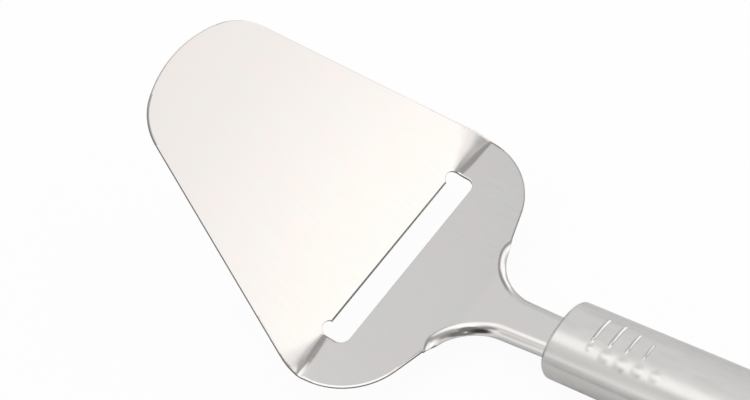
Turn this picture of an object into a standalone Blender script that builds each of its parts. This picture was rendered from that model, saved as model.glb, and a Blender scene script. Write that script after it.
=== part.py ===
"""Cheese slicer: a bent sheet blade with a cutting slot, welded to a hollow oval handle.

Metres, +Z up. The handle lies level along Y, the paddle rises towards +Y and the thumb ribs are
on top. X is the width, and the part is alike on both sides of X = 0. The origin is on the surface
that the handle lies on, under the middle of the overall length.
"""

import math

import bmesh
import bpy
from mathutils import Matrix, Vector

# Clearance between pieces that are welded together on the real product
FIT_GAP = 0.0003

# Blade sheet and its two bends
SHEET = 0.0008
PADDLE_RISE = math.radians(32.3)
NECK_RISE = math.radians(12.3)
NECK_BEND_RADIUS = 0.015

# Outline of the flat blank; lengths run along the blank from the crease at the slot
PADDLE_LENGTH = 0.0784
TIP_CROWN = 0.0070
TIP_CORNER_RADIUS = 0.016
CREASE_HALF_WIDTH = 0.0448
SIDE_ANGLE = math.radians(18.2)
SHOULDER_RADIUS = 0.0212
REAR_EDGE_ANGLE = math.radians(18.5)
REAR_EDGE_APEX = 0.0318
CREASE_TO_NECK_BEND = 0.0302
NECK_BEND_TO_HANDLE = 0.0256
NECK_HALF_WIDTH = 0.0065
NECK_TAPER = math.radians(1.6)
NECK_FILLET = 0.0137
NECK_ABOVE_AXIS = 0.0002
TANG_LENGTH = 0.020

# Bend beside the slot: tight at the slot's end and fanned out at the blade's edge
FAN_APEX = 0.0277
FAN_HALF_LENGTH = 0.0050
CREASE_HALF_LENGTH = 0.0001
FAN_STEPS = 8
NECK_BEND_STEPS = 4

# Cutting slot, with a round relief notch at each end of the ground lip
SLOT_HALF_LENGTH = 0.0305
SLOT_BEHIND_CREASE = 0.0063
SLOT_CORNER_RADIUS = 0.0028
LIP_PAST_CREASE = 0.00045
NOTCH_RADIUS = 0.00225
NOTCH_BEHIND_CREASE = 0.00025
GRIND_WIDTH = 0.0007
GRIND_ANGLE = math.radians(38.0)

# Edges of the neck, rolled down
ROLL_RADIUS_AT_CORNER = 0.0042
ROLL_RADIUS_AT_HANDLE = 0.0030
FLANGE_DEPTH = 0.0021
FLANGE_LEAD = 0.0075
FLANGE_RUN_IN = 0.024
FLANGE_STEPS = 5

# Oval handle tube; at a fullness of 2 the oval would be an ellipse
TUBE_LENGTH = 0.100
TUBE_HALF_WIDTH = 0.0114
TUBE_HALF_HEIGHT = 0.0078
OVAL_FULLNESS = 2.3
TUBE_WALL = 0.0009
LIP_ROUNDING = 0.0010
LIP_REACH = 0.0019
LIP_STEPS = 4
OVAL_SIDES = 56

# Pressed thumb ribs, each given by the angle in degrees that it spans on either side of the top
RIB_SPANS = (30.0, 32.0, 33.0, 26.0, 19.0)
FIRST_RIB = 0.0118
RIB_PITCH = 0.00487
RIB_HEIGHT = 0.00055
RIB_HALF_BREADTH = 0.00125
RIB_SIDES = 12
RIB_STEPS = 6
RIB_END_STEPS = 3
RIB_END_LIFT = math.radians(15.0)

# Closing disc and rear cap
DISC_THICKNESS = 0.0015
CAP_LENGTH = 0.014
CAP_SPIGOT = 0.006
CAP_RINGS = 8
CAP_TURN = math.radians(84.0)
EYE_RADIUS = 0.0035
EYE_FROM_END = 0.0075
EYE_SIDES = 32

# Steps round the outline's arcs
TIP_STEPS = 14
CORNER_STEPS = 8
SHOULDER_STEPS = 18
FILLET_STEPS = 12
LEAD_STEPS = 5
NECK_STEPS = 6
SLOT_CORNER_STEPS = 6
NOTCH_STEPS = 10

# How far a cutter runs past what it cuts, the least step between rings, and what counts as sharp
OVERRUN = 0.001
LEAST_STEP = 0.00001
SHARP_ANGLE = math.radians(35.0)

STEEL_BRIGHT = (0.78, 0.77, 0.75, 1.0)
STEEL_SATIN = (0.66, 0.65, 0.64, 1.0)
SHEET_ROUGHNESS = 0.22
TUBE_ROUGHNESS = 0.38
DISC_ROUGHNESS = 0.35
CAP_ROUGHNESS = 0.30


def steel(name, colour, roughness):
    """Bare stainless steel."""
    material = bpy.data.materials.new(name)
    material.use_nodes = True
    shader = material.node_tree.nodes["Principled BSDF"]
    shader.inputs["Base Color"].default_value = colour
    shader.inputs["Metallic"].default_value = 1.0
    shader.inputs["Roughness"].default_value = roughness
    return material


def add_piece(name, mesh, collection, parent, material=None):
    """Link a mesh as a named object under its parent."""
    piece = bpy.data.objects.new(name, mesh)
    collection.objects.link(piece)
    piece.parent = parent
    if material is not None:
        mesh.materials.append(material)
    return piece


def add_cutter(name, mesh, collection, parent):
    """Link a mesh that only shapes other pieces."""
    cutter = add_piece(name, mesh, collection, parent)
    cutter.hide_render = True
    cutter.display_type = "WIRE"
    return cutter


def finish_mesh(shape, name):
    """Turn a bmesh into a mesh with smooth round sides and sharp corners."""
    mesh = bpy.data.meshes.new(name)
    shape.to_mesh(mesh)
    shape.free()
    mesh.shade_smooth()
    mesh.set_sharp_from_angle(angle=SHARP_ANGLE)
    return mesh


def boolean(piece, cutter, operation):
    """Join or cut a piece with another shape."""
    modifier = piece.modifiers.new(cutter.name, "BOOLEAN")
    modifier.operation = operation
    modifier.solver = "EXACT"
    modifier.object = cutter


def arc(centre, radius, start, end, steps):
    """Points round an arc of the flat blank, both ends included."""
    points = []
    for step in range(steps + 1):
        angle = start + (end - start) * step / steps
        spoke = Vector((math.cos(angle), math.sin(angle)))
        points.append(Vector(centre) + radius * spoke)
    return points


def bend(point, crease, tangent, angle):
    """Bend what lies past a crease upwards, on an arc that starts a tangent length before it."""
    across, along, height = point
    past = along - crease
    if past <= -tangent:
        return Vector((across, along, height))
    if past >= tangent:
        reach = past * math.cos(angle) - height * math.sin(angle)
        rise = past * math.sin(angle) + height * math.cos(angle)
        return Vector((across, crease + reach, rise))
    radius = tangent / math.tan(angle / 2.0)
    turned = angle * (past + tangent) / (2.0 * tangent)
    reach = (radius - height) * math.sin(turned) - tangent
    rise = radius - (radius - height) * math.cos(turned)
    return Vector((across, crease + reach, rise))


def fan_slope():
    """How fast the bend beside the slot widens towards the blade's edge."""
    return FAN_HALF_LENGTH / (CREASE_HALF_WIDTH - FAN_APEX)


def neck_tangent():
    """Half the stretch that the neck's bend takes."""
    return NECK_BEND_RADIUS * math.tan(NECK_RISE / 2.0)


def on_bent_sheet(point):
    """Place a point of the flat blank on the bent blade, whose neck stays level."""
    fan = CREASE_HALF_LENGTH + max(abs(point[0]) - FAN_APEX, 0.0) * fan_slope()
    placed = bend(point, 0.0, fan, PADDLE_RISE)
    return bend(placed, -CREASE_TO_NECK_BEND, neck_tangent(), NECK_RISE)


def crease_to_handle():
    """From the crease back to the handle's front face, along the blank."""
    return CREASE_TO_NECK_BEND + NECK_BEND_TO_HANDLE


def tip_points():
    """The crowned tip and its corner, from the centre line to the straight side."""
    side_normal = Vector((math.cos(SIDE_ANGLE), math.sin(SIDE_ANGLE)))
    side_point = Vector((CREASE_HALF_WIDTH, 0.0))
    corner_half_width = CREASE_HALF_WIDTH - (PADDLE_LENGTH - TIP_CROWN) * math.tan(SIDE_ANGLE)
    tip_radius = (corner_half_width ** 2 + TIP_CROWN ** 2) / (2.0 * TIP_CROWN)
    tip_centre = Vector((0.0, PADDLE_LENGTH - tip_radius))
    inner_radius = tip_radius - TIP_CORNER_RADIUS
    depth = (side_point - tip_centre).dot(side_normal) - TIP_CORNER_RADIUS
    lean = math.asin(depth / inner_radius) - SIDE_ANGLE
    corner_centre = tip_centre + inner_radius * Vector((math.sin(lean), math.cos(lean)))
    turn = math.pi / 2.0 - lean
    crown = arc(tip_centre, tip_radius, math.pi / 2.0, turn, TIP_STEPS)
    corner = arc(corner_centre, TIP_CORNER_RADIUS, turn, SIDE_ANGLE, CORNER_STEPS)
    return crown + corner[1:]


def shoulder_points():
    """The shoulder between the straight side and the rear edge."""
    side_normal = Vector((math.cos(SIDE_ANGLE), math.sin(SIDE_ANGLE)))
    rear_normal = Vector((math.sin(REAR_EDGE_ANGLE), -math.cos(REAR_EDGE_ANGLE)))
    side_offset = side_normal.x * CREASE_HALF_WIDTH - SHOULDER_RADIUS
    rear_offset = -rear_normal.y * REAR_EDGE_APEX - SHOULDER_RADIUS
    centre = Matrix((side_normal, rear_normal)).inverted() @ Vector((side_offset, rear_offset))
    end = REAR_EDGE_ANGLE - math.pi / 2.0
    return arc(centre, SHOULDER_RADIUS, SIDE_ANGLE, end, SHOULDER_STEPS)


def neck_points():
    """The rear edge beside the neck, its concave corner, and the neck to the tang's end."""
    rear_normal = Vector((math.sin(REAR_EDGE_ANGLE), -math.cos(REAR_EDGE_ANGLE)))
    neck_normal = Vector((math.cos(NECK_TAPER), -math.sin(NECK_TAPER)))
    mouth = Vector((NECK_HALF_WIDTH, -crease_to_handle()))
    rear_offset = -rear_normal.y * REAR_EDGE_APEX + NECK_FILLET
    neck_offset = neck_normal.dot(mouth) + NECK_FILLET
    centre = Matrix((rear_normal, neck_normal)).inverted() @ Vector((rear_offset, neck_offset))
    start = REAR_EDGE_ANGLE + math.pi / 2.0
    corner = arc(centre, NECK_FILLET, start, math.pi - NECK_TAPER, FILLET_STEPS)
    edge = Vector((math.cos(REAR_EDGE_ANGLE), math.sin(REAR_EDGE_ANGLE)))
    lead = []
    for step in range(LEAD_STEPS):
        lead.append(corner[0] + edge * FLANGE_LEAD * (1.0 - step / LEAD_STEPS))
    neck = []
    for step in range(1, NECK_STEPS + 1):
        neck.append(corner[-1].lerp(mouth, step / NECK_STEPS))
    return lead + corner + neck + [mouth - Vector((0.0, TANG_LENGTH))]


def slot_points():
    """Half of the slot's edge, from the middle of its rear side to the middle of the lip."""
    corner_centre = (SLOT_HALF_LENGTH - SLOT_CORNER_RADIUS, SLOT_CORNER_RADIUS - SLOT_BEHIND_CREASE)
    corner = arc(corner_centre, SLOT_CORNER_RADIUS, -math.pi / 2.0, 0.0, SLOT_CORNER_STEPS)
    notch_centre = (SLOT_HALF_LENGTH - NOTCH_RADIUS, -NOTCH_BEHIND_CREASE)
    lip_rise = (LIP_PAST_CREASE + NOTCH_BEHIND_CREASE) / NOTCH_RADIUS
    notch = arc(notch_centre, NOTCH_RADIUS, 0.0, math.pi - math.asin(lip_rise), NOTCH_STEPS)
    rear_middle = Vector((0.0, -SLOT_BEHIND_CREASE))
    lip_middle = Vector((0.0, LIP_PAST_CREASE))
    return [rear_middle] + corner + notch + [lip_middle]


def flange_rolls(edge):
    """Roll radius at each point of the neck's edge, and how wide a strip is rolled down there."""
    rolls = []
    run = 0.0
    for index, point in enumerate(edge):
        if index > 0:
            run += (point - edge[index - 1]).length
        share = min(run / FLANGE_RUN_IN, 1.0)
        radius = ROLL_RADIUS_AT_CORNER + (ROLL_RADIUS_AT_HANDLE - ROLL_RADIUS_AT_CORNER) * share
        turn = math.acos(max(1.0 - FLANGE_DEPTH / radius, 0.0))
        strip = radius * turn + max(FLANGE_DEPTH - radius, 0.0)
        rolls.append((radius, strip * share * share * (3.0 - 2.0 * share)))
    return rolls


def rolled(radius, strip):
    """How far a rolled strip reaches outwards and downwards from where the roll starts."""
    turned = min(strip / radius, math.pi / 2.0)
    outwards = radius * math.sin(turned)
    downwards = radius * (1.0 - math.cos(turned)) + strip - radius * turned
    return outwards, downwards


def outward_normals(edge):
    """Outward normals of the neck's edge, whose points run backwards on the right side."""
    normals = []
    for index in range(len(edge)):
        before = edge[max(index - 1, 0)]
        after = edge[min(index + 1, len(edge) - 1)]
        along = (after - before).normalized()
        normals.append(Vector((-along.y, along.x)))
    return normals


def blade_mesh():
    """Right half of the bent sheet's top surface, open at X = 0."""
    edge = neck_points()
    normals = outward_normals(edge)
    rolls = flange_rolls(edge)
    starts = [p - n * rolled(*roll)[0] for p, n, roll in zip(edge, normals, rolls)]
    tang_middle = Vector((0.0, edge[-1].y))
    blank = tip_points() + shoulder_points() + starts + [tang_middle] + slot_points()
    shape = bmesh.new()
    corners = [shape.verts.new((p.x, p.y, 0.0)) for p in blank]
    shape.faces.new(corners)
    first = len(tip_points()) + len(shoulder_points())
    row = corners[first:first + len(edge)]
    for step in range(1, FLANGE_STEPS + 1):
        bars = [shape.edges.get((a, b)) for a, b in zip(row, row[1:])]
        extruded = bmesh.ops.extrude_edge_only(shape, edges=bars)["geom"]
        new_row = [item for item in extruded if isinstance(item, bmesh.types.BMVert)]
        row = in_order(row, new_row)
        for vertex, start, normal, (radius, strip) in zip(row, starts, normals, rolls):
            outwards, downwards = rolled(radius, strip * step / FLANGE_STEPS)
            place = start + normal * outwards
            vertex.co = (place.x, place.y, -downwards)
    cut_bend_lines(shape)
    for vertex in shape.verts:
        vertex.co = on_bent_sheet(vertex.co)
    bmesh.ops.remove_doubles(shape, verts=shape.verts, dist=LEAST_STEP)
    bmesh.ops.recalc_face_normals(shape, faces=shape.faces)
    if sum(face.normal.z for face in shape.faces) < 0.0:
        bmesh.ops.reverse_faces(shape, faces=shape.faces)
    return finish_mesh(shape, "blade_plate")


def in_order(row, new_row):
    """The extruded vertices in the order of the row that they came from."""
    ordered = []
    for vertex in row:
        ordered.append(min(new_row, key=lambda other: (other.co - vertex.co).length))
    return ordered


def cut_line(shape, point, normal):
    """Cut the blank along one line where it will bend."""
    everything = shape.verts[:] + shape.edges[:] + shape.faces[:]
    bmesh.ops.bisect_plane(shape, geom=everything, dist=LEAST_STEP, plane_co=point, plane_no=normal)


def cut_bend_lines(shape):
    """Cut the blank along the lines that its bends turn about."""
    for step in range(FAN_STEPS + 1):
        share = 2.0 * step / FAN_STEPS - 1.0
        cut_line(shape, (FAN_APEX, CREASE_HALF_LENGTH * share, 0.0), (-fan_slope() * share, 1.0, 0.0))
    for step in range(NECK_BEND_STEPS + 1):
        share = 2.0 * step / NECK_BEND_STEPS - 1.0
        cut_line(shape, (0.0, -CREASE_TO_NECK_BEND + neck_tangent() * share, 0.0), (0.0, 1.0, 0.0))


def fuller(share, fullness):
    """Swell one coordinate of a unit circle towards the corners of its square."""
    return math.copysign(abs(share) ** (2.0 / fullness), share)


def ring_loft(rings, sides, name, fullness=2.0):
    """A closed solid through unit rings, each laid in XZ and placed by its own matrix."""
    shape = bmesh.new()
    lay = Matrix.Rotation(math.pi / sides, 4, "Y") @ Matrix.Rotation(math.pi / 2.0, 4, "X")
    loops = []
    for ring in rings:
        circle = bmesh.ops.create_circle(shape, segments=sides, radius=1.0, matrix=lay)
        for vertex in circle["verts"]:
            swollen = (fuller(vertex.co.x, fullness), 0.0, fuller(vertex.co.z, fullness))
            vertex.co = ring @ Vector(swollen)
        loops.append(circle["verts"])
    for near, far in zip(loops, loops[1:]):
        pair = set(near) | set(far)
        joined = [bar for bar in shape.edges if bar.verts[0] in pair and bar.verts[1] in pair]
        rims = [bar for bar in joined if (bar.verts[0] in near) == (bar.verts[1] in near)]
        bmesh.ops.bridge_loops(shape, edges=rims)
    for loop in (loops[0], loops[-1]):
        shape.faces.new(loop)
    bmesh.ops.recalc_face_normals(shape, faces=shape.faces)
    return finish_mesh(shape, name)


def oval_ring(station, inset):
    """The handle's oval at a station along Y, taken in evenly by an inset."""
    size = Matrix.Diagonal((TUBE_HALF_WIDTH - inset, 1.0, TUBE_HALF_HEIGHT - inset, 1.0))
    return Matrix.Translation((0.0, station, 0.0)) @ size


def box_mesh(low, high, name):
    """A box between two corners."""
    shape = bmesh.new()
    bmesh.ops.create_cube(shape, size=1.0)
    size = Vector(high) - Vector(low)
    middle = (Vector(high) + Vector(low)) / 2.0
    bmesh.ops.scale(shape, vec=size, verts=shape.verts)
    bmesh.ops.translate(shape, vec=middle, verts=shape.verts)
    return finish_mesh(shape, name)


def rib_mesh(station, span, inset, name):
    """One pressed rib: a round bar with domed ends, sunk in the oval's top."""
    radius = (RIB_HALF_BREADTH ** 2 + RIB_HEIGHT ** 2) / (2.0 * RIB_HEIGHT)
    sink = radius - RIB_HEIGHT
    bar = radius - inset
    half_width = TUBE_HALF_WIDTH - sink
    half_height = TUBE_HALF_HEIGHT - sink
    end_turn = bar / half_width
    straight = math.radians(span) - RIB_HALF_BREADTH / half_width
    stations = []
    for step in range(RIB_END_STEPS):
        lift = RIB_END_LIFT + (math.pi / 2.0 - RIB_END_LIFT) * step / RIB_END_STEPS
        stations.append((straight + end_turn * math.cos(lift), bar * math.sin(lift)))
    for step in range(RIB_STEPS + 1):
        stations.append((straight * (1.0 - 2.0 * step / RIB_STEPS), bar))
    for turn, size in reversed(stations[:RIB_END_STEPS]):
        stations.append((-turn, size))
    rings = []
    for turn, size in stations:
        across = fuller(math.sin(turn), OVAL_FULLNESS)
        upward = fuller(math.cos(turn), OVAL_FULLNESS)
        place = Vector((half_width * across, station, half_height * upward))
        steep = abs(across) ** (OVAL_FULLNESS - 1.0) / half_width
        level = abs(upward) ** (OVAL_FULLNESS - 1.0) / half_height
        roll = math.copysign(math.atan2(steep, level), turn)
        lay = Matrix.Rotation(roll, 4, "Y") @ Matrix.Rotation(-math.pi / 2.0, 4, "Z")
        rings.append(Matrix.Translation(place) @ lay @ Matrix.Diagonal((size, size, size, 1.0)))
    return ring_loft(rings, RIB_SIDES, name)


def make_blade(collection, cutters, axis):
    """The pressed sheet: paddle, slot with ground lip, rear plate, neck and tang."""
    material = steel("bright_sheet", STEEL_BRIGHT, SHEET_ROUGHNESS)
    blade = add_piece("blade_plate", blade_mesh(), collection, axis, material)
    blade.location = (0.0, crease_to_handle(), NECK_ABOVE_AXIS)
    mirror = blade.modifiers.new("other_half", "MIRROR")
    mirror.use_axis = (True, False, False)
    mirror.use_clip = True
    mirror.merge_threshold = LEAST_STEP
    wall = blade.modifiers.new("sheet", "SOLIDIFY")
    wall.thickness = SHEET
    wall.offset = -1.0
    wall.use_even_offset = True
    wall.use_quality_normals = True
    half_length = SLOT_HALF_LENGTH - NOTCH_RADIUS
    reach = GRIND_WIDTH / math.cos(GRIND_ANGLE) + OVERRUN
    low = (-half_length, -reach, 0.0)
    high = (half_length, OVERRUN, SHEET + OVERRUN)
    wheel = add_cutter("grind_wheel", box_mesh(low, high, "grind_wheel"), cutters, blade)
    wheel.location = on_bent_sheet((0.0, LIP_PAST_CREASE + GRIND_WIDTH, 0.0))
    wheel.rotation_euler = (PADDLE_RISE + NECK_RISE + GRIND_ANGLE, 0.0, 0.0)
    boolean(blade, wheel, "DIFFERENCE")
    return blade


def make_tube(collection, cutters, axis):
    """The hollow oval handle with its turned-in lip and pressed thumb ribs."""
    rings = []
    for step in range(LIP_STEPS + 1):
        turn = math.pi / 2.0 * (1.0 - step / LIP_STEPS)
        inset = LIP_ROUNDING * (1.0 - math.cos(turn))
        rings.append(oval_ring(LIP_ROUNDING * (math.sin(turn) - 1.0), inset))
    rings.append(oval_ring(-TUBE_LENGTH, 0.0))
    barrel = ring_loft(rings, OVAL_SIDES, "handle_tube", OVAL_FULLNESS)
    material = steel("satin_tube", STEEL_SATIN, TUBE_ROUGHNESS)
    tube = add_piece("handle_tube", barrel, collection, axis, material)
    for index, span in enumerate(RIB_SPANS):
        station = -(FIRST_RIB + RIB_PITCH * index)
        rib = rib_mesh(station, span, 0.0, "rib_press")
        boolean(tube, add_cutter(f"rib_press_{index + 1}", rib, cutters, axis), "UNION")
    corner = max(LIP_ROUNDING - TUBE_WALL, 0.0)
    bore_rings = [
        oval_ring(OVERRUN, LIP_REACH),
        oval_ring(-TUBE_WALL, LIP_REACH),
        oval_ring(-TUBE_WALL - LEAST_STEP, TUBE_WALL + corner),
        oval_ring(-TUBE_WALL - LEAST_STEP - corner, TUBE_WALL),
        oval_ring(-TUBE_LENGTH - OVERRUN, TUBE_WALL),
    ]
    bore_mesh = ring_loft(bore_rings, OVAL_SIDES, "tube_bore", OVAL_FULLNESS)
    bore = add_cutter("tube_bore", bore_mesh, cutters, axis)
    boolean(tube, bore, "DIFFERENCE")
    for index, span in enumerate(RIB_SPANS):
        station = -(FIRST_RIB + RIB_PITCH * index)
        hollow = rib_mesh(station, span, TUBE_WALL, "rib_hollow")
        boolean(tube, add_cutter(f"rib_hollow_{index + 1}", hollow, cutters, axis), "DIFFERENCE")
    return tube


def make_disc(collection, cutters, axis):
    """The disc behind the tube's lip, with the opening that the neck passes through."""
    front = -TUBE_WALL - FIT_GAP
    inset = TUBE_WALL + FIT_GAP
    rings = [oval_ring(front, inset), oval_ring(front - DISC_THICKNESS, inset)]
    material = steel("disc_steel", STEEL_SATIN, DISC_ROUGHNESS)
    plate = ring_loft(rings, OVAL_SIDES, "front_disc", OVAL_FULLNESS)
    disc = add_piece("front_disc", plate, collection, axis, material)
    half_width = NECK_HALF_WIDTH + FIT_GAP
    neck_underside = NECK_ABOVE_AXIS - FLANGE_DEPTH - SHEET
    low = (-half_width, front - DISC_THICKNESS - OVERRUN, neck_underside - FIT_GAP)
    high = (half_width, front + OVERRUN, NECK_ABOVE_AXIS + FIT_GAP)
    opening = add_cutter("neck_opening", box_mesh(low, high, "neck_opening"), cutters, axis)
    boolean(disc, opening, "DIFFERENCE")
    return disc


def make_cap(collection, cutters, axis):
    """The domed rear cap, its spigot in the tube and its hanging eye."""
    face = -TUBE_LENGTH - FIT_GAP
    inset = TUBE_WALL + FIT_GAP
    rings = [oval_ring(face + CAP_SPIGOT, inset), oval_ring(face, inset)]
    rings.append(oval_ring(face - LEAST_STEP, 0.0))
    for step in range(1, CAP_RINGS + 1):
        turn = CAP_TURN * step / CAP_RINGS
        half_width = TUBE_HALF_WIDTH * math.cos(turn)
        size = Matrix.Diagonal((half_width, 1.0, TUBE_HALF_HEIGHT * math.cos(turn), 1.0))
        rings.append(Matrix.Translation((0.0, face - CAP_LENGTH * math.sin(turn), 0.0)) @ size)
    material = steel("cap_steel", STEEL_SATIN, CAP_ROUGHNESS)
    dome = ring_loft(rings, OVAL_SIDES, "end_cap", OVAL_FULLNESS)
    cap = add_piece("end_cap", dome, collection, axis, material)
    shape = bmesh.new()
    bmesh.ops.create_cone(shape, cap_ends=True, segments=EYE_SIDES, radius1=EYE_RADIUS,
                          radius2=EYE_RADIUS, depth=2.0 * (TUBE_HALF_HEIGHT + OVERRUN))
    drill = add_cutter("eye_drill", finish_mesh(shape, "eye_drill"), cutters, axis)
    drill.location = (0.0, face - CAP_LENGTH + EYE_FROM_END, 0.0)
    boolean(cap, drill, "DIFFERENCE")
    return cap


def handle_front_place():
    """Where the centre of the handle's front face lies, so that the origin is under the middle."""
    tip = on_bent_sheet((0.0, PADDLE_LENGTH, -SHEET)).y + crease_to_handle()
    tail = -TUBE_LENGTH - FIT_GAP - CAP_LENGTH * math.sin(CAP_TURN)
    return Vector((0.0, -(tip + tail) / 2.0, TUBE_HALF_HEIGHT))


def main():
    for old in list(bpy.data.objects):
        bpy.data.objects.remove(old, do_unlink=True)
    collection = bpy.data.collections.new("cheese_slicer")
    cutters = bpy.data.collections.new("cutters")
    for group in (collection, cutters):
        bpy.context.scene.collection.children.link(group)
    axis = bpy.data.objects.new("handle_axis", None)
    collection.objects.link(axis)
    axis.location = handle_front_place()
    make_blade(collection, cutters, axis)
    make_tube(collection, cutters, axis)
    make_disc(collection, cutters, axis)
    make_cap(collection, cutters, axis)


main()
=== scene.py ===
"""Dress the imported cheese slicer: blade sheet, handle tube, front disc, end cap and a pale studio.

Metres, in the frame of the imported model. The handle lies level along Y, the paddle rises towards
+Y and the thumb ribs are on top.
"""

import math

import bmesh
import bpy
from bpy.props import FloatProperty, FloatVectorProperty, PointerProperty
from mathutils import Matrix, Vector


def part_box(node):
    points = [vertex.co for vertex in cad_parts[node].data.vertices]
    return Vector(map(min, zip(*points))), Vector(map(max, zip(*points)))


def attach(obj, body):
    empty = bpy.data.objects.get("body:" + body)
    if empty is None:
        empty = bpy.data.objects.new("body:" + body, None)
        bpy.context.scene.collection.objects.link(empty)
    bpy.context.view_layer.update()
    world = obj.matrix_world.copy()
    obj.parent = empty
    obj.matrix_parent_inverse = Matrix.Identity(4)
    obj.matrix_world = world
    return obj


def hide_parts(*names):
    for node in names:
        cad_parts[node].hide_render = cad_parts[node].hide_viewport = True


bl_info = {
    "name": "Cheese slicer",
    "version": (1, 0, 0),
    "blender": (4, 5, 0),
    "location": "View3D > Sidebar > Slicer",
    "description": "Builds the pieces of a sheet-steel cheese slicer and its studio",
    "category": "Add Mesh",
}

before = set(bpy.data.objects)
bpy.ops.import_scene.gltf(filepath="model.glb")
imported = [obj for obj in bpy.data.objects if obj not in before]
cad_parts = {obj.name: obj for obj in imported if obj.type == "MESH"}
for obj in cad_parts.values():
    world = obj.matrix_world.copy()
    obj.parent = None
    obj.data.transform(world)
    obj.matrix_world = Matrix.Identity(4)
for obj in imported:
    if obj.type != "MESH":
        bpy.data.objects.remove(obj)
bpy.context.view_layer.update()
FACE_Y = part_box("handle_tube")[1].y
REAR_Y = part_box("handle_tube")[0].y
AXIS_Z = (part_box("front_disc")[0].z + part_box("front_disc")[1].z) / 2.0

# How finely the round shapes are divided
ARC_STEPS = 28
SHORT_ARC_STEPS = 12
ROLL_STEPS = 12
OVAL_SIDES = 160
DOME_RINGS = 24
EYE_SIDES = 64
COARSE_CUT = 0.0016
MIDDLE_CUT = 0.0010
FINE_CUT = 0.00028
CURL_CUT = COARSE_CUT / 4.0
NECK_CUT = MIDDLE_CUT / 2.0
PLAIN_RING = 0.0022
RIB_RING = 0.00014
LEAST_RING = 0.0002

# Stretch that is cut for the fan, and share of the way to the neck's bend that is left uncut
FAN_LOW = -0.0056
FAN_HIGH = 0.0166
NEAR_NECK = 0.7

# How suddenly the bend opens towards each side
LEFT_POWER = 2
RIGHT_POWER = 8

# Vertices nearer than MERGE are one; in the fan, those nearer than SLIVER are one too
MERGE = 0.00001
SLIVER = 0.00007

# Axes of the flat blank
ACROSS = 0
ALONG = 1

# Material slots of the blade; the ground and sheared slots carry steel darkened with painted shade
SHEET_SLOT = 0
GROUND_SHADE_SLOT = 1
SHEARED_SHADE_SLOT = 2

# The rolled edge: share of its turn at the start, and arcs of the corner where its radius changes
ROLL_BEGUN = 0.1
HALF_CORNER = math.radians(35.0)
WHOLE_CORNER = math.radians(72.0)

# Where across the blank the left shoulder's droop starts and where it is whole
DROOP_STARTS = 0.021
DROOP_WHOLE = 0.023

# Rounding of the handle's edges, and the angles from which an edge is sharp
TUBE_ROUND = 0.00012
DISC_ROUND = 0.0001
CAP_ROUND = 0.0003
SHARP = math.radians(40.0)
TUBE_SHARP = math.radians(50.0)

# Share of the oval from which a vertex is on the tube's outside, and the turn of the cap's dome
OUTSIDE = 0.97
DOME_TURN = math.radians(84.0)


def setting(kind, **fixed):
    """A maker of settings of one kind that the user may change."""
    def make(label, default, description):
        return kind(name=label, default=default, description=description, **fixed)
    return make


def angle(label, degrees, description):
    """An angle that the user may change, given in degrees."""
    return radians(label, math.radians(degrees), description)


length = setting(FloatProperty, precision=5, unit="LENGTH")
radians = setting(FloatProperty, unit="ROTATION")
share = setting(FloatProperty, min=0.0, max=1.0, subtype="FACTOR")
colour = setting(FloatVectorProperty, size=3, min=0.0, max=1.0, subtype="COLOR")


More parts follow.
